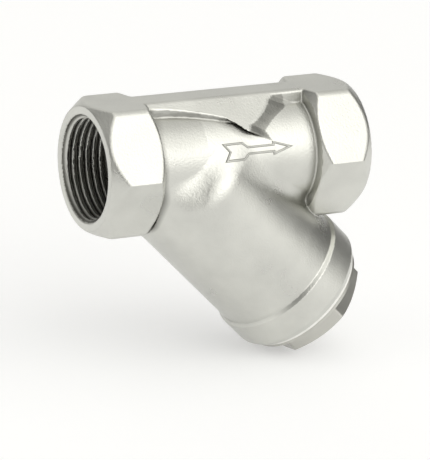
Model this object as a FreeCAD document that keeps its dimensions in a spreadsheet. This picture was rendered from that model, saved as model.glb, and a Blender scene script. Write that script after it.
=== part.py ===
import FreeCAD, Part
import math
import os
import Sketcher

# Threaded Y strainer, DN 25 (G 1). Frame: X along the run from inlet to
# outlet, Z up, Y across. The origin is the middle of the run, on its axis.
# The branch leaves the run at 45 degrees, down towards the outlet.

V = FreeCAD.Vector
doc = FreeCAD.newDocument("y_strainer")
sheet = doc.addObject("Spreadsheet::Sheet", "Sizes")


class D:
    """A length that carries both its value and the expression that gives it."""

    def __init__(self, v, e):
        self.v, self.e = float(v), e

    def _o(self, o):
        return o if isinstance(o, D) else D(o, repr(float(o)) + " mm")

    def __add__(self, o):
        o = self._o(o)
        return D(self.v + o.v, "(%s + %s)" % (self.e, o.e))

    def __sub__(self, o):
        o = self._o(o)
        return D(self.v - o.v, "(%s - %s)" % (self.e, o.e))

    def __mul__(self, k):
        return D(self.v * k, "(%s * %r)" % (self.e, float(k)))

    def __neg__(self):
        return D(-self.v, "(0 mm - %s)" % self.e)


SIZES = [
    ("face_to_face", 90.0),
    ("hex_corner", 23.25),
    ("hex_edge_round", 1.5),
    ("hex_inner_end", 27.0),
    ("hex_rim", 19.3),
    ("hex_rim_run", 4.9),
    ("hex_back_run", 2.3),
    ("barrel_outer", 16.9),
    ("branch_cross", 16.6),
    ("branch_outer", 22.3),
    ("branch_dome_at", 12.0),
    ("branch_dome_round", 8.5),
    ("collar_outer", 23.3),
    ("collar_start", 55.0),
    ("collar_end", 66.4),
    ("crotch_round", 4.0),
    ("port_minor", 15.45),
    ("port_major", 16.62),
    ("port_pitch", 2.309),
    ("port_sink", 17.0),
    ("port_thread_end", 30.6),
    ("port_relief_end", 28.6),
    ("port_relief", 16.85),
    ("flow_bore", 13.0),
    ("inlet_bore_end", 10.5),
    ("outlet_bore_end", 7.0),
    ("mouth_bore", 13.5),
    ("seat_at", 7.0),
    ("seat_bore", 16.5),
    ("chamber_bore", 17.6),
    ("chamber_from", 10.5),
    ("cap_pitch", 1.5),
    ("cap_hole_minor", 18.19),
    ("cap_hole_major", 19.12),
    ("cap_thread_major", 18.86),
    ("cap_thread_root", 17.95),
    ("cap_thread_from", 57.2),
    ("gasket_thick", 1.5),
    ("gasket_inner", 19.15),
    ("gasket_outer", 21.2),
    ("flange_outer", 21.0),
    ("flange_thick", 1.6),
    ("cap_hex_corner", 18.7),
    ("cap_hex_high", 6.6),
    ("cap_recess", 16.45),
    ("cap_floor", 65.4),
    ("screen_outer", 15.7),
    ("screen_sheet", 0.55),
    ("screen_top", 7.2),
    ("screen_hole", 0.9),
    ("roof_top", 20.14),
    ("roof_half", 4.75),
    ("arrow_high", 0.4),
]
P = {}
for i, (name, value) in enumerate(SIZES):
    row = i + 1
    sheet.set("A%d" % row, name)
    sheet.set("B%d" % row, "=%r mm" % value)
    sheet.setAlias("B%d" % row, name)
    P[name] = D(value, "Sizes." + name)
doc.recompute()

C45 = math.sqrt(0.5)
AXIS_X = V(1, 0, 0)
AXIS_B = V(C45, 0, -C45)  # down the branch
AXIS_E = V(C45, 0, C45)  # square to it, towards the outlet and up
TURN_X = FreeCAD.Rotation(V(0, 1, 0), 90) * FreeCAD.Rotation(V(0, 0, 1), 180)  # local z becomes +X
TURN_B = FreeCAD.Rotation(V(0, 1, 0), 135)  # local z becomes the branch axis
CROSS = -P["branch_cross"].v
HALF = P["face_to_face"] * 0.5


def bind(obj, prop, d):
    obj.setExpression(prop, d.e)


def at_run(obj, x):
    """Stand an object on the run axis with its local z along +X."""
    obj.Placement = FreeCAD.Placement(V(x.v, 0, 0), TURN_X)
    bind(obj, "Placement.Base.x", x)


def at_branch(obj, t):
    """Stand an object on the branch axis with its local z down the branch."""
    obj.Placement = FreeCAD.Placement(V(CROSS, 0, 0) + AXIS_B * t.v, TURN_B)
    obj.setExpression("Placement.Base.x", "(0 mm - Sizes.branch_cross) + %s * %r" % (t.e, C45))
    obj.setExpression("Placement.Base.z", "0 mm - %s * %r" % (t.e, C45))


def cyl(name, r, h, place, at):
    o = doc.addObject("Part::Cylinder", name)
    o.Radius, o.Height = r.v, h.v
    bind(o, "Radius", r)
    bind(o, "Height", h)
    place(o, at)
    return o


def cone(name, r1, r2, h, place, at):
    o = doc.addObject("Part::Cone", name)
    o.Radius1, o.Radius2, o.Height = r1.v, r2.v, h.v
    bind(o, "Radius1", r1)
    bind(o, "Radius2", r2)
    bind(o, "Height", h)
    place(o, at)
    return o


def fuse(name, parts, refine=False):
    o = doc.addObject("Part::MultiFuse", name)
    o.Shapes = parts
    o.Refine = refine
    doc.recompute()
    return o


def cut(name, base, tool):
    o = doc.addObject("Part::Cut", name)
    o.Base, o.Tool = base, tool
    o.Refine = False
    doc.recompute()
    return o


def common(name, parts):
    o = doc.addObject("Part::MultiCommon", name)
    o.Shapes = parts
    doc.recompute()
    return o


def sketch(name, placement):
    s = doc.addObject("Sketcher::SketchObject", name)
    s.Placement = placement
    return s


def loop(s, pts, tag="p"):
    """A closed outline. Each corner is (x, y) with D or plain zero entries."""
    n = len(pts)

    def val(q):
        return q.v if isinstance(q, D) else float(q)

    first = s.GeometryCount
    for i in range(n):
        a, b = pts[i], pts[(i + 1) % n]
        s.addGeometry(
            Part.LineSegment(V(val(a[0]), val(a[1]), 0), V(val(b[0]), val(b[1]), 0)),
            False,
        )
    for i in range(n):
        s.addConstraint(
            Sketcher.Constraint("Coincident", first + i, 2, first + (i + 1) % n, 1)
        )
    for i, (x, y) in enumerate(pts):
        g = first + i
        for q, kind, axis in ((x, "DistanceX", -2), (y, "DistanceY", -1)):
            v = val(q)
            if abs(v) < 1e-9:
                s.addConstraint(Sketcher.Constraint("PointOnObject", g, 1, axis))
                continue
            if v > 0:
                c = Sketcher.Constraint(kind, -1, 1, g, 1, v)
            else:
                c = Sketcher.Constraint(kind, g, 1, -1, 1, -v)
            k = s.addConstraint(c)
            if isinstance(q, D):
                key = "%s%d%s" % (tag, i, "x" if kind == "DistanceX" else "y")
                s.renameConstraint(k, key)
                e = q.e if v > 0 else (-q).e
                s.setExpression("Constraints." + key, e)
    return s


# sketch planes: run plane (sketch x = X, y = Z) and branch plane
# (sketch x = down the branch, y = square to it in the run plane)
RUN_PLANE = FreeCAD.Placement(V(0, 0, 0), FreeCAD.Rotation(V(1, 0, 0), 90))
BRANCH_ROT = FreeCAD.Rotation(V(0, 1, 0), 45) * FreeCAD.Rotation(V(1, 0, 0), 90)


def branch_sketch(name):
    s = sketch(name, FreeCAD.Placement(V(CROSS, 0, 0), BRANCH_ROT))
    s.setExpression("Placement.Base.x", "0 mm - Sizes.branch_cross")
    return s


def turned(name, src, axis, base_x=None):
    o = doc.addObject("Part::Revolution", name)
    o.Source = src
    o.Axis = axis
    o.Base = V(0 if base_x is None else base_x.v, 0, 0)
    if base_x is not None:
        bind(o, "Base.x", base_x)
    o.Angle = 360.0
    o.Solid = True
    doc.recompute()
    return o


def pushed(name, src, direction, fwd, rev=0.0):
    o = doc.addObject("Part::Extrusion", name)
    o.Base = src
    o.DirMode = "Custom"
    o.Dir = direction
    o.LengthFwd = fwd
    o.LengthRev = rev
    o.Solid = True
    doc.recompute()
    return o


def rounded(name, base, radius, pick):
    o = doc.addObject("Part::Fillet", name)
    o.Base = base
    doc.recompute()
    o.Edges = [(i + 1, radius, radius) for i, e in enumerate(base.Shape.Edges) if pick(e)]
    doc.recompute()
    return o


# ---------------------------------------------------------------- body, outside
barrel = cyl("Barrel", P["barrel_outer"], HALF * 2 - 4, at_run, -HALF + 2)

bs = branch_sketch("BranchOutline")
r_b, dome, knuckle = P["branch_outer"], P["branch_dome_at"], P["branch_dome_round"]
mid = V(dome.v, (r_b - knuckle).v, 0)
bs.addGeometry(
    Part.ArcOfCircle(Part.Circle(mid, V(0, 0, 1), knuckle.v), math.pi / 2, math.pi),
    False,
)
corners = [
    (dome, r_b),
    (P["collar_start"], r_b),
    (P["collar_start"] + 1.0, P["collar_outer"]),
    (P["collar_end"] - 1.7, P["collar_outer"]),
    (P["collar_end"], P["collar_outer"] - 0.9),
    (P["collar_end"], 0),
    (dome - knuckle, 0),
    (dome - knuckle, r_b - knuckle),
]
for i in range(len(corners) - 1):
    a, b = corners[i], corners[i + 1]
    bs.addGeometry(
        Part.LineSegment(
            V(a[0].v, a[1].v if isinstance(a[1], D) else 0, 0),
            V(b[0].v, b[1].v if isinstance(b[1], D) else 0, 0),
        ),
        False,
    )
for kind, d, key in (
    ("DistanceX", dome, "dome_at"),
    ("DistanceY", r_b - knuckle, "dome_mid"),
):
    k = bs.addConstraint(Sketcher.Constraint(kind, -1, 1, 0, 3, d.v))
    bs.renameConstraint(k, key)
    bs.setExpression("Constraints." + key, d.e)
k = bs.addConstraint(Sketcher.Constraint("Radius", 0, knuckle.v))
bs.renameConstraint(k, "dome_radius")
bs.setExpression("Constraints.dome_radius", knuckle.e)
bs.addConstraint(Sketcher.Constraint("Coincident", 0, 1, 1, 1))
for i in range(1, 7):
    bs.addConstraint(Sketcher.Constraint("Coincident", i, 2, i + 1, 1))
bs.addConstraint(Sketcher.Constraint("Coincident", 7, 2, 0, 2))
bs.addConstraint(Sketcher.Constraint("Horizontal", 1))
bs.addConstraint(Sketcher.Constraint("Vertical", 0, 3, 0, 1))
bs.addConstraint(Sketcher.Constraint("Horizontal", 0, 3, 0, 2))
bs.addConstraint(Sketcher.Constraint("Horizontal", 3))
bs.addConstraint(Sketcher.Constraint("Vertical", 5))
bs.addConstraint(Sketcher.Constraint("Vertical", 7))
bs.addConstraint(Sketcher.Constraint("PointOnObject", 6, 1, -1))
bs.addConstraint(Sketcher.Constraint("PointOnObject", 6, 2, -1))
for g, kind, d, key in (
    (2, "DistanceX", corners[1][0], "step_at"),
    (3, "DistanceX", corners[2][0], "collar_at"),
    (3, "DistanceY", corners[2][1], "collar_r"),
    (4, "DistanceX", corners[3][0], "bevel_at"),
    (5, "DistanceX", corners[4][0], "end_at"),
    (5, "DistanceY", corners[4][1], "end_r"),
):
    k = bs.addConstraint(Sketcher.Constraint(kind, -1, 1, g, 1, d.v))
    bs.renameConstraint(k, key)
    bs.setExpression("Constraints." + key, d.e)
doc.recompute()
branch = turned("Branch", bs, AXIS_B, -P["branch_cross"])

joined = fuse("RunAndBranch", [barrel, branch])


def valley(e, low, high):
    """A ring where the run's barrel comes out of the branch, between two lengths."""
    for k in range(5):
        u = e.FirstParameter + (e.LastParameter - e.FirstParameter) * (0.1 + 0.2 * k)
        q = e.valueAt(u)
        if abs(math.hypot(q.y, q.z) - P["barrel_outer"].v) > 1e-3:
            return False
        if not low < q.x < high:
            return False
    q1, q2 = e.valueAt(e.FirstParameter), e.valueAt(e.LastParameter)
    q3 = e.valueAt((e.FirstParameter + e.LastParameter) / 2)
    return max(abs(q1.z - q3.z), abs(q2.z - q3.z), abs(q1.y - q3.y)) > 1e-3


blended = rounded("Crotch", joined, P["crotch_round"].v, lambda e: valley(e, -36, 40))

behind = cyl("BehindInletHex", P["barrel_outer"] * 3, HALF, at_run, -HALF - P["hex_inner_end"])
keep = cyl("KeepInletBarrel", P["barrel_outer"] - 0.1, HALF, at_run, -HALF - P["hex_inner_end"])
clear = cut("ClearOfInletHex", behind, keep)
trunk = cut("Trunk", blended, clear)


def end_hex(name, sign):
    o = doc.addObject("Part::Prism", name + "Blank")
    o.Polygon = 6
    o.Circumradius, o.Height = P["hex_corner"].v, (HALF - P["hex_inner_end"]).v
    bind(o, "Circumradius", P["hex_corner"])
    bind(o, "Height", HALF - P["hex_inner_end"])
    start = P["hex_inner_end"] if sign > 0 else -HALF
    o.Placement = FreeCAD.Placement(V(start.v, 0, 0), TURN_X * FreeCAD.Rotation(V(0, 0, 1), 30))
    bind(o, "Placement.Base.x", start)
    doc.recompute()
    soft = rounded(
        name + "Soft",
        o,
        P["hex_edge_round"].v,
        lambda e: abs(e.valueAt(e.FirstParameter).x - e.valueAt(e.LastParameter).x) > 5,
    )
    s = sketch(name + "Outline", RUN_PLANE)
    top = P["hex_corner"] + 0.6

    def q(d):
        return d if sign > 0 else -d

    loop(
        s,
        [
            (q(P["hex_inner_end"]), 0),
            (q(P["hex_inner_end"]), P["hex_corner"] - 3.2),
            (q(P["hex_inner_end"] + P["hex_back_run"] + 0.45), top),
            (q(HALF - P["hex_rim_run"] - 0.75), top),
            (q(HALF), P["hex_rim"]),
            (q(HALF), 0),
        ],
    )
    lathe = turned(name + "Lathe", s, AXIS_X)
    return common(name, [soft, lathe])


hex_in = end_hex("InletHex", -1)
hex_out = end_hex("OutletHex", 1)

# roof rib between the hexagons: plan outline pushed down the branch direction
rib_plan = [
    (-31.0, 6.2),
    (-23.1, 6.9),
    (-19.0, 7.6),
    (-15.1, 8.5),
    (-11.3, 9.5),
    (-7.9, 10.7),
    (-6.9, 12.2),
    (-6.6, 13.6),
    (-6.1, 14.6),
    (-5.2, 14.8),
    (-4.2, 14.2),
    (-2.6, 13.1),
    (0.9, 12.0),
    (6.0, 10.0),
    (10.5, 7.8),
    (12.5, 6.6),
    (15.0, 5.7),
    (31.0, 5.4),
]
s = sketch("RibPlan", FreeCAD.Placement(V(0, 0, P["roof_top"].v), FreeCAD.Rotation()))
s.setExpression("Placement.Base.z", P["roof_top"].e)
loop(s, [(D(x, "%r mm" % x), D(-y, "%r mm" % -y)) for x, y in rib_plan] + [(D(x, "%r mm" % x), D(y, "%r mm" % y)) for x, y in reversed(rib_plan)])
rib_push = pushed("RibPush", s, AXIS_B, 19.0)
s = sketch("RibSection", FreeCAD.Placement(V(-P["hex_inner_end"].v - 1, 0, 0), FreeCAD.Rotation(V(0, 0, 1), 90) * FreeCAD.Rotation(V(1, 0, 0), 90)))
s.setExpression("Placement.Base.x", "0 mm - Sizes.hex_inner_end - 1 mm")
drop = 12.0
loop(
    s,
    [
        (-P["roof_half"], P["roof_top"]),
        (P["roof_half"], P["roof_top"]),
        (P["roof_half"] + drop, P["roof_top"] - 0.9 * drop),
        (P["roof_half"] + drop, P["roof_top"] - 16.0),
        (-P["roof_half"] - drop, P["roof_top"] - 16.0),
        (-P["roof_half"] - drop, P["roof_top"] - 0.9 * drop),
    ],
)
rib_bar = pushed("RibBar", s, AXIS_X, 2 * P["hex_inner_end"].v + 2)
rib = common("Rib", [rib_push, rib_bar])

# flow arrow, a raised outline on the front of the barrel
tilt = 18.0
arrow_rot = FreeCAD.Rotation(V(1, 0, 0), 90 - tilt)
s = sketch("ArrowOutline", FreeCAD.Placement(V(6.5, 0, 0), arrow_rot))
outer = [(-12.1, -2.75), (-5.2, -2.75), (-3.4, -1.3), (5.2, -1.3), (5.2, -2.2), (12.1, 0.0), (5.2, 2.2), (5.2, 1.3), (-3.4, 1.3), (-5.2, 2.75), (-12.1, 2.75), (-10.2, 0.0)]


def inset(pts, w):
    out = []
    n = len(pts)
    for i in range(n):
        p0, p1, p2 = pts[i - 1], pts[i], pts[(i + 1) % n]
        d1 = (p1[0] - p0[0], p1[1] - p0[1])
        d2 = (p2[0] - p1[0], p2[1] - p1[1])
        l1, l2 = math.hypot(*d1), math.hypot(*d2)
        n1 = (-d1[1] / l1, d1[0] / l1)
        n2 = (-d2[1] / l2, d2[0] / l2)
        k = w / (1 + n1[0] * n2[0] + n1[1] * n2[1])
        out.append((p1[0] + (n1[0] + n2[0]) * k, p1[1] + (n1[1] + n2[1]) * k))
    return out


def plain(pts):
    return [(D(x, "%r mm" % x), D(y, "%r mm" % y)) for x, y in pts]


loop(s, plain(outer), "a")
loop(s, plain(inset(outer, 0.6)), "b")
arrow_push = pushed("ArrowPush", s, arrow_rot.multVec(V(0, 0, 1)), 25.0)
arrow_skin = cyl("ArrowSkin", P["barrel_outer"] + P["arrow_high"], HALF, at_run, P["hex_inner_end"] * -0.5)
arrow = common("Arrow", [arrow_push, arrow_skin])

casting = fuse("Casting", [trunk, hex_in, hex_out, rib, arrow], True)

# ----------------------------------------------------------------- body, inside
tools = []


def port(name, sign):
    q = (lambda d: d) if sign > 0 else (lambda d: -d)
    s = sketch(name + "Bore", RUN_PLANE)
    end = P["outlet_bore_end"] if sign > 0 else -P["inlet_bore_end"]
    sink_run = P["port_sink"] - P["port_minor"]
    loop(
        s,
        [
            (q(HALF + 1.0), 0),
            (q(HALF + 1.0), P["port_sink"] + 1.0),
            (q(HALF - sink_run), P["port_minor"]),
            (q(P["port_thread_end"]), P["port_minor"]),
            (q(P["port_thread_end"] - 0.2), P["port_relief"]),
            (q(P["port_relief_end"] + 0.9), P["port_relief"]),
            (q(P["port_relief_end"]), P["flow_bore"]),
            (end, P["flow_bore"]),
            (end, 0),
        ],
    )
    return turned(name + "Way", s, AXIS_X)


tools.append(port("Inlet", -1))
tools.append(port("Outlet", 1))

s = branch_sketch("ChamberBore")
loop(
    s,
    [
        (P["seat_at"] - 9.0, 0),
        (P["seat_at"] - 9.0, P["mouth_bore"]),
        (P["seat_at"], P["mouth_bore"]),
        (P["seat_at"], P["seat_bore"]),
        (P["chamber_from"], P["seat_bore"]),
        (P["chamber_from"] + 0.6, P["chamber_bore"]),
        (P["cap_thread_from"] - 1.9, P["chamber_bore"]),
        (P["cap_thread_from"] - 1.3, P["cap_hole_major"] + 0.1),
        (P["cap_thread_from"], P["cap_hole_major"] + 0.1),
        (P["cap_thread_from"] + 0.2, P["cap_hole_minor"]),
        (P["collar_end"] - 1.0, P["cap_hole_minor"]),
        (P["collar_end"], P["cap_hole_minor"] + 1.0),
        (P["collar_end"] + 1.0, P["cap_hole_minor"] + 2.0),
        (P["collar_end"] + 1.0, 0),
    ],
)
tools.append(turned("Chamber", s, AXIS_B, -P["branch_cross"]))


def thread(name, r_in, r_out, half_in, half_out, pitch, turns, place, at):
    """A ridge wound round local z: a trapezium from r_in to r_out."""
    h = doc.addObject("Part::Helix", name + "Helix")
    h.Pitch, h.Height, h.Radius, h.Angle = pitch.v, pitch.v * turns, r_in, 0.0
    h.SegmentLength = 1
    h.LocalCoord = "Right-handed"
    bind(h, "Pitch", pitch)
    bind(h, "Height", pitch * turns)
    s = doc.addObject("Sketcher::SketchObject", name + "Profile")
    s.Placement = FreeCAD.Placement(V(0, 0, 0), FreeCAD.Rotation(V(1, 0, 0), 90))
    around = [(r_in, -half_in), (r_out, -half_out), (r_out, half_out), (r_in, half_in)]
    loop(s, plain(around))
    doc.recompute()
    w = doc.addObject("Part::Sweep", name + "Sweep")
    w.Sections = [s]
    w.Spine = (h, ["Edge%d" % (i + 1) for i in range(len(h.Shape.Edges))])
    w.Solid = True
    w.Frenet = True
    doc.recompute()
    m = doc.addObject("Part::Compound", name)
    m.Links = [w]
    place(m, at)
    doc.recompute()
    return m


# 55 degree flanks on the ports, 60 degree on the cap
t55, t60 = math.tan(math.radians(27.5)), math.tan(math.radians(30))
depth = P["port_major"].v - P["port_minor"].v
root = 0.19
lap = 0.22
for name, sign in (("InletThread", -1), ("OutletThread", 1)):
    start = (-HALF - 1.4) if sign < 0 else (P["port_thread_end"] - 1.1)
    tools.append(
        thread(
            name,
            P["port_minor"].v - lap,
            P["port_major"].v,
            root + (depth + lap) * t55,
            root,
            P["port_pitch"],
            (HALF.v - P["port_thread_end"].v + 2.5) / P["port_pitch"].v,
            at_run,
            start,
        )
    )
depth_f = P["cap_hole_major"].v - P["cap_hole_minor"].v
tools.append(
    thread(
        "CollarThread",
        P["cap_hole_minor"].v - 0.1,
        P["cap_hole_major"].v,
        0.14 + (depth_f + 0.1) * t60,
        0.14,
        P["cap_pitch"],
        7.0,
        at_branch,
        P["cap_thread_from"] - 0.6,
    )
)
bare = cut("BareBody", casting, fuse("Hollows", tools[:3]))
b1 = cut("WithInletThread", bare, tools[3])
b2 = cut("WithOutletThread", b1, tools[4])
body = cut("BodySolid", b2, tools[5])

# -------------------------------------------------------------------------- cap
face = P["collar_end"] + P["gasket_thick"]
s = branch_sketch("CapOutline")
loop(
    s,
    [
        (P["cap_thread_from"] + 1.0, P["cap_recess"]),
        (P["cap_thread_from"] + 1.0, P["cap_thread_root"]),
        (P["cap_thread_from"] + 1.9, P["cap_thread_major"]),
        (P["collar_end"] - 1.0, P["cap_thread_major"]),
        (P["collar_end"] - 0.6, P["cap_thread_root"]),
        (face, P["cap_thread_root"]),
        (face, P["flange_outer"] - 0.3),
        (face + 0.3, P["flange_outer"]),
        (face + P["flange_thick"] - 0.4, P["flange_outer"]),
        (face + P["flange_thick"], P["flange_outer"] - 0.6),
        (face + P["flange_thick"], 0),
        (P["cap_floor"], 0),
        (P["cap_floor"], P["cap_recess"]),
    ],
)
plug = turned("Plug", s, AXIS_B, -P["branch_cross"])
nut = doc.addObject("Part::Prism", "CapHexBlank")
nut.Polygon = 6
nut.Circumradius, nut.Height = P["cap_hex_corner"].v, (P["cap_hex_high"] + 1.0).v
bind(nut, "Circumradius", P["cap_hex_corner"])
bind(nut, "Height", P["cap_hex_high"] + 1.0)
at_branch(nut, face + P["flange_thick"] - 1.0)
nut.Placement = FreeCAD.Placement(nut.Placement.Base, TURN_B * FreeCAD.Rotation(V(0, 0, 1), 30 - 4))
doc.recompute()
nut_soft = rounded(
    "CapHexSoft",
    nut,
    1.4,
    lambda e: abs((e.valueAt(e.FirstParameter) - e.valueAt(e.LastParameter)).dot(AXIS_B)) > 3,
)
top = face + P["flange_thick"] + P["cap_hex_high"]
s = branch_sketch("CapHexOutline")
loop(
    s,
    [
        (face + P["flange_thick"] - 1.0, 0),
        (face + P["flange_thick"] - 1.0, P["cap_hex_corner"] + 0.5),
        (top - 1.6, P["cap_hex_corner"] + 0.5),
        (top, P["cap_hex_corner"] - 2.6),
        (top, 0),
    ],
)
nut_lathe = turned("CapHexLathe", s, AXIS_B, -P["branch_cross"])
head = common("CapHex", [nut_soft, nut_lathe])
cap_blank = fuse("CapBlank", [plug, head], True)
# the groove between the cap's ridges, cut from outside
depth_m = P["cap_thread_major"].v - P["cap_thread_root"].v
wide = 0.5 * P["cap_pitch"].v
cap_groove = thread(
    "CapThreadGroove",
    P["cap_thread_root"].v,
    P["cap_thread_major"].v + 0.1,
    wide - 0.14 - depth_m * t60,
    wide - 0.14 + 0.1 * t60,
    P["cap_pitch"],
    7.4,
    at_branch,
    P["cap_thread_from"] - 0.6 + wide - P["cap_pitch"].v,
)
cap = cut("CapSolid", cap_blank, cap_groove)

# ----------------------------------------------------------------------- gasket
g_out = cyl("GasketOuter", P["gasket_outer"], P["gasket_thick"], at_branch, P["collar_end"])
g_in = cyl("GasketInner", P["gasket_inner"], P["gasket_thick"] + 2, at_branch, P["collar_end"] - 1)
gasket = cut("GasketSolid", g_out, g_in)

# ----------------------------------------------------------------------- screen
screen_long = P["cap_floor"] - P["screen_top"]
tube = cut(
    "ScreenTube",
    cyl("ScreenOuter", P["screen_outer"], screen_long, at_branch, P["screen_top"]),
    cyl("ScreenInner", P["screen_outer"] - P["screen_sheet"], screen_long + 2, at_branch, P["screen_top"] - 1),
)
# round holes in staggered rows, with a blank strip left for the lap seam
ROWS, AROUND, STEP = 8, 25, 13.5
row_gap = 6.6
blank = -90.0 + (AROUND - 0.25) * STEP + (360.0 - (AROUND - 0.5) * STEP) / 2
pins = []
for z0, a0 in ((5.6, 0.0), (5.6 + row_gap / 2, STEP / 2)):
    for j in range(ROWS):
        for k in range(AROUND):
            a = math.radians(a0 + STEP * k - 90.0)
            out = V(math.cos(a), math.sin(a), 0)
            pins.append(Part.makeCylinder(P["screen_hole"].v, 4.0, out * (P["screen_outer"].v - 2.5) + V(0, 0, z0 + j * row_gap), out))
hole_tool = doc.addObject("Part::Feature", "ScreenHoles")
hole_tool.Shape = Part.makeCompound(pins)
at_branch(hole_tool, P["screen_top"])
sheet_holed = cut("ScreenHoled", tube, hole_tool)
# the lap: a strip of the same sheet over the blank strip
lap_out = cyl("LapOuter", P["screen_outer"] + P["screen_sheet"], screen_long, at_branch, P["screen_top"])
lap_in = cyl("LapInner", P["screen_outer"] - 0.15, screen_long + 2, at_branch, P["screen_top"] - 1)
for o in (lap_out, lap_in):
    o.Placement = FreeCAD.Placement(o.Placement.Base, TURN_B * FreeCAD.Rotation(V(0, 0, 1), blank - 9.0))
    o.Angle = 18.0
lap_in.Placement = FreeCAD.Placement(lap_in.Placement.Base, TURN_B * FreeCAD.Rotation(V(0, 0, 1), blank - 12.0))
lap_in.Angle = 24.0
lap_strip = cut("LapStrip", lap_out, lap_in)
screen = fuse("ScreenSolid", [sheet_holed, lap_strip])

OUT = [("body", body), ("cap", cap), ("cap_gasket", gasket), ("screen", screen)]
for name, obj in OUT:
    obj.Label = name
doc.recompute()
for obj in doc.Objects:
    if "Invalid" in obj.State or "Error" in obj.State:
        raise RuntimeError("bad state: " + obj.Name)
os.makedirs("parts", exist_ok=True)
for name, obj in OUT:
    shape = obj.Shape
    if shape.isNull() or not shape.isValid() or len(shape.Solids) != 1:
        raise RuntimeError("bad shape: %s %d solids" % (name, len(shape.Solids)))
    print(name, round(shape.Volume, 2), len(shape.Faces), shape.BoundBox)
    shape.exportStep("parts/%s.step" % name)
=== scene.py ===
import math
import bpy
import numpy as np
from mathutils import Matrix, Vector


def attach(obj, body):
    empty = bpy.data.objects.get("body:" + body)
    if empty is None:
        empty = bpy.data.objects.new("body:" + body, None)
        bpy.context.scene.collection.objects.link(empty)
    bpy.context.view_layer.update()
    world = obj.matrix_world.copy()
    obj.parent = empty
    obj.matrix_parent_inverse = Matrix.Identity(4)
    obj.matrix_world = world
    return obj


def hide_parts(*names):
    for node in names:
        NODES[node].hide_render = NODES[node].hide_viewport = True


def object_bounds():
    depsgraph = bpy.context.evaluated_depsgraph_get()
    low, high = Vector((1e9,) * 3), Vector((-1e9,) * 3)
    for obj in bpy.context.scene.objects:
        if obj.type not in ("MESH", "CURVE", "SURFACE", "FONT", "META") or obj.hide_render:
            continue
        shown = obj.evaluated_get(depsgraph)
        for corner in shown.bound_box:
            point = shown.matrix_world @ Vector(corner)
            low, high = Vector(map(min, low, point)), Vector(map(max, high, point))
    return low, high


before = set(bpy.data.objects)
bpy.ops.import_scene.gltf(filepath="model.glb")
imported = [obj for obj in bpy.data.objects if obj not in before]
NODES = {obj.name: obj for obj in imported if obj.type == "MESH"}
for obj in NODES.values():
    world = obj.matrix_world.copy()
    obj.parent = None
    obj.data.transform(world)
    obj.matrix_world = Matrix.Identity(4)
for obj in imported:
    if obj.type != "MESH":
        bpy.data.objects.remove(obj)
cad_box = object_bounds()

scene = bpy.context.scene
scene.view_settings.view_transform = "Standard"
scene.view_settings.look = "None"

# ------------------------------------------------------------------ cast body
# The body as a distance field in millimetres, from the same numbers as the
# solid: the casting's outside with soft fillets, less the machined inside.
C45 = math.sqrt(0.5)
CROSS_X = -16.6
COLLAR_END = 66.4


def table_2d(points, step=0.08, pad=6.0):
    """Signed distance to a closed outline, tabulated. Returns a lookup."""
    pts = np.array(points, np.float64)
    lo2, hi2 = pts.min(0) - pad, pts.max(0) + pad
    n0, n1 = [int(v) for v in np.ceil((hi2 - lo2) / step)]
    gx = (lo2[0] + step * np.arange(n0 + 1))[:, None]
    gy = (lo2[1] + step * np.arange(n1 + 1))[None, :]
    best = np.full((n0 + 1, n1 + 1), 1e9)
    inside = np.zeros((n0 + 1, n1 + 1), bool)
    m = len(pts)
    for i in range(m):
        ax, ay = pts[i]
        bx, by = pts[(i + 1) % m]
        ex, ey = bx - ax, by - ay
        wx, wy = gx - ax, gy - ay
        t = np.clip((wx * ex + wy * ey) / (ex * ex + ey * ey), 0, 1)
        best = np.minimum(best, (wx - t * ex) ** 2 + (wy - t * ey) ** 2)
        if ay != by:
            crosses = ((gy >= min(ay, by)) & (gy < max(ay, by))) & (gx < ax + (gy - ay) * ex / ey)
            inside ^= crosses
    d = np.sqrt(best)
    d = np.where(inside, -d, d).astype(np.float32)

    def look(a, b):
        fa = np.clip((a - lo2[0]) / step, 0, n0 - 0.001)
        fb = np.clip((b - lo2[1]) / step, 0, n1 - 0.001)
        ia, ib = fa.astype(np.int32), fb.astype(np.int32)
        fa, fb = (fa - ia).astype(np.float32), (fb - ib).astype(np.float32)
        d00, d10, d01, d11 = d[ia, ib], d[ia + 1, ib], d[ia, ib + 1], d[ia + 1, ib + 1]
        return (d00 * (1 - fa) + d10 * fa) * (1 - fb) + (d01 * (1 - fa) + d11 * fa) * fb

    return look


def join(a, b, r):
    """Union with a concave fillet of radius r."""
    u, v = np.maximum(r - a, 0), np.maximum(r - b, 0)
    return np.maximum(r, np.minimum(a, b)) - np.sqrt(u * u + v * v)


def meet(a, b, r):
    """Intersection with its edge rounded to radius r."""
    u, v = np.maximum(r + a, 0), np.maximum(r + b, 0)
    return np.minimum(-r, np.maximum(a, b)) + np.sqrt(u * u + v * v)


RIB = [
    (-33.0, 6.2), (-23.1, 6.9), (-19.0, 7.6), (-15.1, 8.5), (-11.3, 9.5), (-7.9, 10.7),
    (-6.9, 12.2), (-6.6, 13.6), (-6.1, 14.6), (-5.2, 14.8), (-4.2, 14.2), (-2.6, 13.1),
    (0.9, 12.0), (6.0, 10.0), (10.5, 7.8), (12.5, 6.6), (15.0, 5.7), (33.0, 5.4),
]
plan = [((x + 20.14) * C45, -y) for x, y in RIB] + [((x + 20.14) * C45, y) for x, y in reversed(RIB)]
rib_plan = table_2d(plan)
port_profile = table_2d(
    [(-47, -3), (-47, 19.0), (-46.0, 18.0), (-43.45, 15.45), (-30.6, 15.45), (-30.4, 16.85),
     (-29.5, 16.85), (-28.6, 13.0), (-10.5, 13.0), (-10.5, -3)]
)
outlet_profile = table_2d(
    [(47, -3), (47, 19.0), (46.0, 18.0), (43.45, 15.45), (30.6, 15.45), (30.4, 16.85),
     (29.5, 16.85), (28.6, 13.0), (7.0, 13.0), (7.0, -3)]
)
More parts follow.
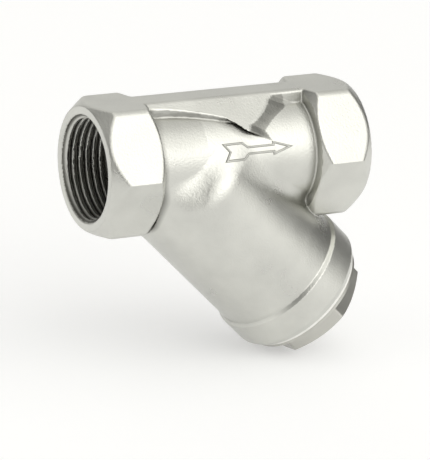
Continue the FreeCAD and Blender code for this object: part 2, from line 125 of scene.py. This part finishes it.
chamber_profile = table_2d(
    [(-2, -3), (-2, 13.5), (7, 13.5), (7, 16.5), (10.5, 16.5), (11.1, 17.6), (55.3, 17.6), (55.9, 19.22),
     (57.2, 19.22), (57.4, 18.19), (65.4, 18.19), (66.4, 19.19), (67.4, 20.19), (67.4, -3)]
)
collar_profile = table_2d(
    [(40, -3), (40, 22.3), (55.0, 22.3), (56.0, 23.3), (64.7, 23.3), (66.4, 22.4), (66.4, -3)]
)
hex_lathe = table_2d(
    [(27.0, -3), (27.0, 20.05), (29.75, 23.85), (39.35, 23.85), (45.0, 19.3), (45.0, -3)]
)


def screw(along, angle, start, pitch, rho, r_out, half_root, tan_f):
    """A helical groove cut outwards to r_out."""
    a = np.mod((along - start) / pitch - angle / (2 * math.pi) + 0.5, 1.0) - 0.5
    a = np.abs(a) * pitch
    flank = ((rho - r_out) * tan_f + a - half_root) / math.sqrt(1 + tan_f * tan_f)
    return np.maximum(rho - r_out, flank)


def field(x, y, z):
    rx = np.sqrt(y * y + z * z)
    s = x - CROSS_X
    t = (s - z) * C45
    e = (s + z) * C45
    rb = np.sqrt(e * e + y * y)
    # branch with its rounded shoulder, then the run
    qx, qy = 12.0 - t, rb - 13.8
    shoulder = np.sqrt(np.maximum(qx, 0) ** 2 + np.maximum(qy, 0) ** 2) + np.minimum(np.maximum(qx, qy), 0) - 8.5
    tube = np.where(t > 12.0, rb - 22.3, shoulder)
    tube = np.maximum(tube, t - 60.0)
    run = np.maximum(rx - 16.9, np.abs(x) - 44.0)
    # the valley is tight on the outlet side and wide on the inlet side
    w = np.clip((3.0 - e) / 15.0, 0, 1)
    trunk = join(run, tube, 3.0 + 6.0 * w * w * (3 - 2 * w))
    trunk = np.maximum(trunk, -26.0 - x)
    trunk = np.minimum(trunk, run)
    trunk = np.minimum(trunk, collar_profile(t, rb))
    # rib
    roof = meet(z - 20.14, (0.9 * np.abs(y) + z - 24.415) / 1.3454, 0.6)
    under = np.maximum(np.minimum(24.415 - 0.9 * np.abs(y), 20.14) - z, 0)
    lean = 1.3 * np.clip((x - z + 18.0) / 8.0, 0, 1)
    rib = meet(roof, rib_plan((x + z - lean * under) * C45, y), 0.3)
    rib = np.maximum(rib, np.maximum(6.7 - z, np.abs(x) - 33.0))
    skin = join(trunk, rib, 0.4)
    # hexagon ends, flats up and down
    ay, az = np.abs(y), np.abs(z)
    flats = meet(az - 20.135, ay * 0.8660254 + az * 0.5 - 20.135, 1.4)
    six = meet(flats, hex_lathe(np.abs(x), rx), 0.5)
    skin = join(skin, six, 0.5)
    # the rib's top and the hexagons' upper flats are one level
    skin = np.maximum(skin, z - 20.14)
    # machined inside
    left = x < 0
    ports = np.where(left, port_profile(x, rx), outlet_profile(x, rx))
    ang = np.arctan2(-y, z)
    start = np.where(left, -46.4, 29.5)
    g = screw(x, ang, start, 2.309, rx, 16.62, 0.19, 0.5206)
    g = np.maximum(g, 30.5 - np.abs(x))
    ports = np.minimum(ports, g)
    room = chamber_profile(t, rb)
    g = screw(t, np.arctan2(y, -e), 56.6, 1.5, rb, 19.12, 0.14, 0.5774)
    g = np.maximum(g, np.maximum(57.0 - t, t - 67.0))
    room = np.minimum(room, g)
    hollow = np.minimum(ports, room)
    return meet(skin, -hollow, 0.22)


def nets(f, lo3, hi3, h):
    """Surface nets over a grid, then each vertex moved onto the surface."""
    n = [int(math.ceil((hi3[i] - lo3[i]) / h)) + 1 for i in range(3)]
    ax = [np.float32(lo3[i]) + np.float32(h) * np.arange(n[i], dtype=np.float32) for i in range(3)]
    d = np.empty(n, np.float32)
    for i in range(0, n[0], 16):
        d[i : i + 16] = f(ax[0][i : i + 16, None, None], ax[1][None, :, None], ax[2][None, None, :])
    neg = d < 0
    stride = np.array([n[1] * n[2], n[2], 1], np.int64)
    ids, pos, quads = [], [], []
    for k in range(3):
        a = [slice(None)] * 3
        b_ = [slice(None)] * 3
        a[k], b_[k] = slice(0, -1), slice(1, None)
        i0 = np.nonzero(neg[tuple(a)] != neg[tuple(b_)])
        i0 = np.stack(i0, 1)
        i1 = i0.copy()
        i1[:, k] += 1
        d0, d1 = d[tuple(i0.T)], d[tuple(i1.T)]
        w = d0 / (d0 - d1)
        p = i0.astype(np.float32)
        p[:, k] += w
        u, v = (k + 1) % 3, (k + 2) % 3
        ok = (i0[:, u] > 0) & (i0[:, v] > 0) & (i0[:, u] < n[u] - 1) & (i0[:, v] < n[v] - 1)
        i0, p, d0 = i0[ok], p[ok], d0[ok]
        base = i0 @ stride
        c = [base - stride[u] - stride[v], base - stride[v], base, base - stride[u]]
        for q in c:
            ids.append(q)
            pos.append(p)
        quad = np.stack(c, 1)
        quad[d0 > 0] = quad[d0 > 0][:, ::-1]
        quads.append(quad)
    ids, pos, quads = np.concatenate(ids), np.concatenate(pos), np.concatenate(quads)
    cells, inv = np.unique(ids, return_inverse=True)
    cnt = np.bincount(inv).astype(np.float64)
    verts = np.stack([np.bincount(inv, pos[:, k]) / cnt for k in range(3)], 1) * h + np.array(lo3)
    faces = np.searchsorted(cells, quads)
    P = verts.astype(np.float64)
    e = 0.02
    for it in range(4):
        x, y, z = P[:, 0], P[:, 1], P[:, 2]
        f0 = f(x, y, z)
        g = np.stack([f(x + e, y, z) - f(x - e, y, z), f(x, y + e, z) - f(x, y - e, z), f(x, y, z + e) - f(x, y, z - e)], 1) / (2 * e)
        g2 = np.maximum((g * g).sum(1), 0.25)
        step = (f0 / g2)[:, None] * g
        ln = np.linalg.norm(step, axis=1)
        step *= (np.minimum(ln, 0.25 * h) / np.maximum(ln, 1e-9))[:, None]
        P -= step
    g /= np.maximum(np.linalg.norm(g, axis=1), 1e-9)[:, None]
    return P, faces, g


def make_piece(name, verts, faces, normals=None):
    me = bpy.data.meshes.new(name)
    me.vertices.add(len(verts))
    me.vertices.foreach_set("co", np.ascontiguousarray(verts, np.float32).ravel())
    n = faces.shape[1]
    me.loops.add(faces.size)
    me.loops.foreach_set("vertex_index", np.ascontiguousarray(faces, np.int32).ravel())
    me.polygons.add(len(faces))
    me.polygons.foreach_set("loop_start", np.arange(0, faces.size, n, dtype=np.int32))
    me.polygons.foreach_set("use_smooth", np.ones(len(faces), bool))
    me.update(calc_edges=True)
    me.validate()
    if normals is not None:
        me.normals_split_custom_set_from_vertices(normals.astype(np.float32).tolist())
    o = bpy.data.objects.new(name, me)
    scene.collection.objects.link(o)
    return o


GRID = 0.4
P, F, N = nets(field, (-45.8, -24.6, -64.0), (48.2, 24.6, 21.0), GRID)
casting = make_piece("cast_body", P / 1000.0, F, N)
# how open each point is, from the field a little way off the surface
def openness(reach):
    Q = P + N * reach
    return np.clip(field(Q[:, 0], Q[:, 1], Q[:, 2]) / reach, 0, 1)


# painted shade in corners, creases and recesses, from how closed in each point is
painted_shade = np.maximum(1.7 * (1 - openness(0.7)) - 0.15, 1.15 * (1 - openness(3.0)))
along = (P[:, 0] + 16.6 - P[:, 2]) * C45
# painted shade on the rib's side walls, where its edge would shade them
edge = np.minimum(24.415 - 0.9 * np.abs(P[:, 1]), 20.14) - P[:, 2]
lean = 1.3 * np.clip((P[:, 0] - P[:, 2] + 18.0) / 8.0, 0, 1) * np.maximum(edge, 0)
near = np.abs(rib_plan((P[:, 0] + P[:, 2] - lean) * C45, P[:, 1])) < 0.35
wall = near & (np.abs(N[:, 2]) < 0.8) & (edge > 0.25) & (edge < 6.0) & (P[:, 2] > 7.5) & (np.abs(P[:, 0]) < 27.2)
painted_shade = np.where(wall, np.maximum(painted_shade, np.where(P[:, 0] > -4, 0.62, 0.35)), painted_shade)
radius = np.hypot(P[:, 1], P[:, 2])
outside = radius > 16.7
# painted shade: the barrel darkens towards the inlet hexagon, under the rib
deep = np.clip(1.3 * (1 - openness(7.0)), 0, 0.55) * np.clip((P[:, 2] - 3.0) / 6.0, 0, 1)
painted_shade = np.where(outside & (P[:, 0] > -27.2) & (P[:, 0] < -10) & (P[:, 2] < 17), np.maximum(painted_shade, deep), painted_shade)
painted_shade *= np.where(outside & ((P[:, 0] < -27.0) | (P[:, 0] > 20.0)), 0.3, 1.0)
# painted shade in the port threads: roots darkened, flanks left bright
port = (radius < 16.7) & (np.abs(P[:, 0]) > 29.5)
painted_shade = np.where(port, np.clip((radius - 15.75) / 0.5, 0, 1) * 0.95, painted_shade)
painted_shade *= np.where((along > 52.5) & (along < 57.0), 0.25, 1.0)
# stored per vertex as painted shade, which darkens the base colour in the material
att = casting.data.attributes.new("painted_recess_shade", "FLOAT", "POINT")
att.data.foreach_set("value", np.ascontiguousarray(np.clip(painted_shade, 0, 1), np.float32))

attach(casting, "strainer_body")
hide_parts("body")

# flow arrow: a rounded raised line along the outline, laid on the casting
outer = [
    (-12.1, -2.75), (-5.2, -2.75), (-3.4, -1.3), (5.2, -1.3), (5.2, -2.2), (12.1, 0.0), (5.2, 2.2),
    (5.2, 1.3), (-3.4, 1.3), (-5.2, 2.75), (-12.1, 2.75), (-10.2, 0.0),
]
TILT = math.radians(18.0)


def on_skin(a, b, h):
    """A point of the arrow's plan, h above the casting."""
    x = a + 6.5
    zz = b * math.cos(TILT)
    ang = TILT + np.arcsin(np.clip(b / 16.9, -1, 1))
    d = np.stack([np.zeros_like(a), -np.cos(ang), np.sin(ang)], 1)
    rr = np.full(len(a), 17.4)
    for _ in range(12):
        rr = rr - field(x, d[:, 1] * rr, d[:, 2] * rr)
    rr = rr + h
    return np.stack([x, d[:, 1] * rr, d[:, 2] * rr], 1)


def arrow_line(pts, half, high):
    pts = [np.array(p) for p in pts]
    m = len(pts)
    # mitred corners: inner and outer offsets of each corner
    miter = []
    for i in range(m):
        d1 = pts[i] - pts[i - 1]
        d2 = pts[(i + 1) % m] - pts[i]
        n1 = np.array([-d1[1], d1[0]]) / np.linalg.norm(d1)
        n2 = np.array([-d2[1], d2[0]]) / np.linalg.norm(d2)
        miter.append((n1 + n2) / (1 + n1 @ n2))
    prof = [(-1.0, -0.25), (-1.0, 0.0), (-0.78, 0.55), (-0.4, 0.9), (0.0, 1.0), (0.4, 0.9), (0.78, 0.55), (1.0, 0.0), (1.0, -0.25)]
    rows = []
    for i in range(m):
        p, q, mp, mq = pts[i], pts[(i + 1) % m], miter[i], miter[(i + 1) % m]
        k = max(2, int(np.linalg.norm(q - p) / 0.35))
        for j in range(k):
            t = j / k
            rows.append((p * (1 - t) + q * t, mp * (1 - t) + mq * t))
    ctr = np.array([r[0] for r in rows])
    mit = np.array([r[1] for r in rows])
    out = []
    for w, h in prof:
        q = ctr + mit * (w * half)
        out.append(on_skin(q[:, 0], q[:, 1], h * high))
    V3 = np.stack(out, 1)  # rows x profile x 3
    n, k = V3.shape[:2]
    idx = np.arange(n * k).reshape(n, k)
    nx = np.roll(idx, -1, 0)
    a, b_ = idx, np.roll(idx, -1, 1)
    c, d = np.roll(nx, -1, 1), nx
    faces = np.stack([a, d, c, b_], 2).reshape(-1, 4)
    return V3.reshape(-1, 3), faces


centre = []
for i in range(len(outer)):
    p0, p1, p2 = [np.array(outer[(i + k) % len(outer)]) for k in (-1, 0, 1)]
    d1, d2 = (p1 - p0) / np.linalg.norm(p1 - p0), (p2 - p1) / np.linalg.norm(p2 - p1)
    n1, n2 = np.array([-d1[1], d1[0]]), np.array([-d2[1], d2[0]])
    centre.append(tuple(p1 + (n1 + n2) / (1 + n1 @ n2) * 0.3))
AV, AF = arrow_line(centre, 0.36, 0.36)
arrow = make_piece("flow_arrow", AV / 1000.0, AF)
arrow.parent = casting


# ------------------------------------------------------------------ materials
def new_material(name):
    m = bpy.data.materials.new(name)
    m.use_nodes = True
    nt = m.node_tree
    nt.nodes.clear()
    out = nt.nodes.new("ShaderNodeOutputMaterial")
    bsdf = nt.nodes.new("ShaderNodeBsdfPrincipled")
    nt.links.new(bsdf.outputs[0], out.inputs[0])
    return m, nt, bsdf


def noise(nt, vec, scale, detail=3.0, rough=0.55):
    n = nt.nodes.new("ShaderNodeTexNoise")
    n.inputs["Scale"].default_value = scale
    n.inputs["Detail"].default_value = detail
    n.inputs["Roughness"].default_value = rough
    nt.links.new(vec, n.inputs["Vector"])
    return n


def ramp(nt, fac, stops):
    r = nt.nodes.new("ShaderNodeValToRGB")
    el = r.color_ramp.elements
    while len(el) > 1:
        el.remove(el[-1])
    el[0].position, el[0].color = stops[0][0], (*stops[0][1], 1)
    for p, c in stops[1:]:
        e = el.new(p)
        e.color = (*c, 1)
    nt.links.new(fac, r.inputs["Fac"])
    return r


def math_node(nt, op, p, q=None, clamp=False):
    n = nt.nodes.new("ShaderNodeMath")
    n.operation = op
    n.use_clamp = clamp
    for s_, v in zip(n.inputs, (p, q)):
        if v is None:
            continue
        if isinstance(v, (int, float)):
            s_.default_value = v
        else:
            nt.links.new(v, s_)
    return n.outputs[0]


def cast_steel(name, base, rough, grain=0.06, scale=1.0, corners=False):
    """Bead-blasted casting: warm light grey metal with a fine sandy grain."""
    m, nt, b = new_material(name)
    tc = nt.nodes.new("ShaderNodeTexCoord")
    obj = tc.outputs["Object"]
    big = noise(nt, obj, 60 * scale, 3)
    fine = noise(nt, obj, 1500 * scale, 3, 0.65)
    lo = tuple(c * 0.93 for c in base)
    hi = tuple(min(1, c * 1.05) for c in base)
    col = ramp(nt, big.outputs["Fac"], [(0.35, lo), (0.65, hi)])
    tint = col.outputs["Color"]
    if corners:
        # painted shade: corners and recesses are darkened by the per-vertex shade value, and the machined bores
        # are darkened too
        at = nt.nodes.new("ShaderNodeAttribute")
        at.attribute_name = "painted_recess_shade"
        sep = nt.nodes.new("ShaderNodeSeparateXYZ")
        nt.links.new(obj, sep.inputs[0])
        yy = math_node(nt, "MULTIPLY", sep.outputs[1], sep.outputs[1])
        zz = math_node(nt, "MULTIPLY", sep.outputs[2], sep.outputs[2])
        rad = math_node(nt, "SQRT", math_node(nt, "ADD", yy, zz))
        inside = math_node(nt, "LESS_THAN", rad, 0.0167)
        far = math_node(nt, "GREATER_THAN", math_node(nt, "ABSOLUTE", sep.outputs[0]), 0.0135)
        bore = math_node(nt, "MULTIPLY", inside, far)
        painted_corner_dark = math_node(nt, "MULTIPLY", at.outputs["Fac"], 0.9)
        painted_bore_dark = math_node(nt, "MULTIPLY", bore, 0.15)
        dark = math_node(nt, "MAXIMUM", painted_corner_dark, painted_bore_dark)
        mix = nt.nodes.new("ShaderNodeMix")
        mix.data_type = "RGBA"
        nt.links.new(dark, mix.inputs[0])
        nt.links.new(tint, mix.inputs[6])
        mix.inputs[7].default_value = (0.07, 0.067, 0.055, 1)
        tint = mix.outputs[2]
    nt.links.new(tint, b.inputs["Base Color"])
    b.inputs["Metallic"].default_value = 1.0
    rr = nt.nodes.new("ShaderNodeMapRange")
    rr.inputs["From Min"].default_value, rr.inputs["From Max"].default_value = 0.3, 0.7
    rr.inputs["To Min"].default_value, rr.inputs["To Max"].default_value = rough - 0.04, rough + 0.06
    nt.links.new(big.outputs["Fac"], rr.inputs["Value"])
    nt.links.new(rr.outputs["Result"], b.inputs["Roughness"])
    bump = nt.nodes.new("ShaderNodeBump")
    bump.inputs["Strength"].default_value = grain
    bump.inputs["Distance"].default_value = 0.0004
    nt.links.new(fine.outputs["Fac"], bump.inputs["Height"])
    nt.links.new(bump.outputs["Normal"], b.inputs["Normal"])
    return m


def ptfe(name):
    m, nt, b = new_material(name)
    tc = nt.nodes.new("ShaderNodeTexCoord")
    n = noise(nt, tc.outputs["Object"], 400, 3)
    col = ramp(nt, n.outputs["Fac"], [(0.3, (0.80, 0.79, 0.75)), (0.7, (0.88, 0.87, 0.84))])
    nt.links.new(col.outputs["Color"], b.inputs["Base Color"])
    b.inputs["Roughness"].default_value = 0.5
    return m


def paint(o, mat):
    o.data.materials.clear()
    o.data.materials.append(mat)


steel = cast_steel("cast_body_steel", (0.63, 0.63, 0.59), 0.30, 0.30, 1.0, True)
paint(casting, steel)
# the arrow's steel is darker than the body's: painted shade along the raised line
paint(arrow, cast_steel("flow_arrow_shaded_steel", (0.45, 0.45, 0.42), 0.35, 0.15))
paint(NODES["body"], steel)
paint(NODES["cap"], cast_steel("cast_cap_steel", (0.56, 0.555, 0.515), 0.30, 0.15))
paint(NODES["cap_gasket"], ptfe("gasket_ptfe"))
paint(NODES["screen"], cast_steel("screen_sheet_steel", (0.76, 0.76, 0.75), 0.28, 0.02))

# ------------------------------------------------------------------ stage
lo, hi = [Vector(v) for v in cad_box]


def plain(name, colour, rough=0.9):
    m, nt, b = new_material(name)
    b.inputs["Emission Color"].default_value = (1, 1, 1, 1)
    b.inputs["Emission Strength"].default_value = 0.36
    b.inputs["Base Color"].default_value = (*colour, 1)
    b.inputs["Roughness"].default_value = rough
    b.inputs["Specular IOR Level"].default_value = 0.1
    return m


bpy.ops.mesh.primitive_plane_add(size=6, location=(0, 0, lo.z - 0.0002))
floor = bpy.context.object
floor.name = "floor"
floor.data.materials.append(plain("floor_pale", (0.72, 0.72, 0.72)))


def area(name, where, target, size, watts, colour=(1, 1, 1), size_y=None):
    l = bpy.data.lights.new(name, "AREA")
    l.energy, l.size, l.color = watts, size, colour
    if size_y:
        l.shape, l.size_y = "RECTANGLE", size_y
    o = bpy.data.objects.new(name, l)
    scene.collection.objects.link(o)
    o.location = where
    d = Vector(target) - Vector(where)
    o.rotation_euler = d.to_track_quat("-Z", "Y").to_euler()
    return o


area("key", (0.3, -0.95, 0.45), (0, 0, 0), 0.6, 0.8, size_y=0.45)

# soft studio surround: bright in front and above, darker to the right and behind
world = bpy.data.worlds.new("studio")
scene.world = world
world.use_nodes = True
nt = world.node_tree
nt.nodes.clear()
wo = nt.nodes.new("ShaderNodeOutputWorld")
tc = nt.nodes.new("ShaderNodeTexCoord")


def toward(direction, a, b_, high):
    d = Vector(direction).normalized()
    dot = nt.nodes.new("ShaderNodeVectorMath")
    dot.operation = "DOT_PRODUCT"
    dot.inputs[1].default_value = d
    nt.links.new(tc.outputs["Generated"], dot.inputs[0])
    r = nt.nodes.new("ShaderNodeMapRange")
    r.interpolation_type = "SMOOTHSTEP"
    r.inputs["From Min"].default_value, r.inputs["From Max"].default_value = a, b_
    r.inputs["To Min"].default_value, r.inputs["To Max"].default_value = 0.0, high
    nt.links.new(dot.outputs["Value"], r.inputs["Value"])
    return r.outputs["Result"]


def add(p, q):
    n = nt.nodes.new("ShaderNodeMath")
    n.operation = "ADD"
    for s, v in zip(n.inputs, (p, q)):
        if isinstance(v, float):
            s.default_value = v
        else:
            nt.links.new(v, s)
    return n.outputs[0]


level = add(0.20, toward((0.25, -0.85, 0.38), 0.55, 0.95, 1.25))
level = add(level, toward((0.1, -0.1, 1), 0.55, 0.97, 0.85))
level = add(level, toward((-1, 0.05, -0.15), 0.65, 1.0, 1.1))
level = add(level, toward((0.2, 0.9, 0.35), 0.7, 1.0, 0.6))
studio = nt.nodes.new("ShaderNodeBackground")
studio.inputs["Color"].default_value = (1.0, 0.995, 0.965, 1)
nt.links.new(level, studio.inputs["Strength"])
white = nt.nodes.new("ShaderNodeBackground")
white.inputs["Color"].default_value = (1, 1, 1, 1)
white.inputs["Strength"].default_value = 1.0
pick = nt.nodes.new("ShaderNodeMixShader")
ray = nt.nodes.new("ShaderNodeLightPath")
nt.links.new(ray.outputs["Is Camera Ray"], pick.inputs[0])
nt.links.new(studio.outputs[0], pick.inputs[1])
nt.links.new(white.outputs[0], pick.inputs[2])
nt.links.new(pick.outputs[0], wo.inputs[0])

# ------------------------------------------------------------------ camera
PSI, ELEV, ROLL = math.radians(27.52), math.radians(15.39), math.radians(-1.77)
DIST, PX_MM, CX, CY = 1.171, 3.218, 215.1, 154.8
W, H = 430, 460
r = Vector((math.cos(PSI), -math.sin(PSI), 0))
b = Vector((-math.sin(PSI) * math.cos(ELEV), -math.cos(PSI) * math.cos(ELEV), math.sin(ELEV)))
u = b.cross(r)
right = r * math.cos(ROLL) - u * math.sin(ROLL)
up = r * math.sin(ROLL) + u * math.cos(ROLL)
eye = b * DIST
aim = right * ((W / 2 - CX) / PX_MM / 1000) - up * ((H / 2 - CY) / PX_MM / 1000)
back = (eye - aim).normalized()
right = up.cross(back).normalized()
up = back.cross(right)
cam_data = bpy.data.cameras.new("camera")
cam = bpy.data.objects.new("camera", cam_data)
scene.collection.objects.link(cam)
m = Matrix((right, up, back)).transposed().to_4x4()
m.translation = eye
cam.matrix_world = m
cam_data.sensor_fit = "AUTO"
cam_data.sensor_width = 36.0
cam_data.lens = PX_MM * 1000 * DIST / H * 36.0
cam_data.clip_start, cam_data.clip_end = 0.05, 20.0
scene.camera = cam
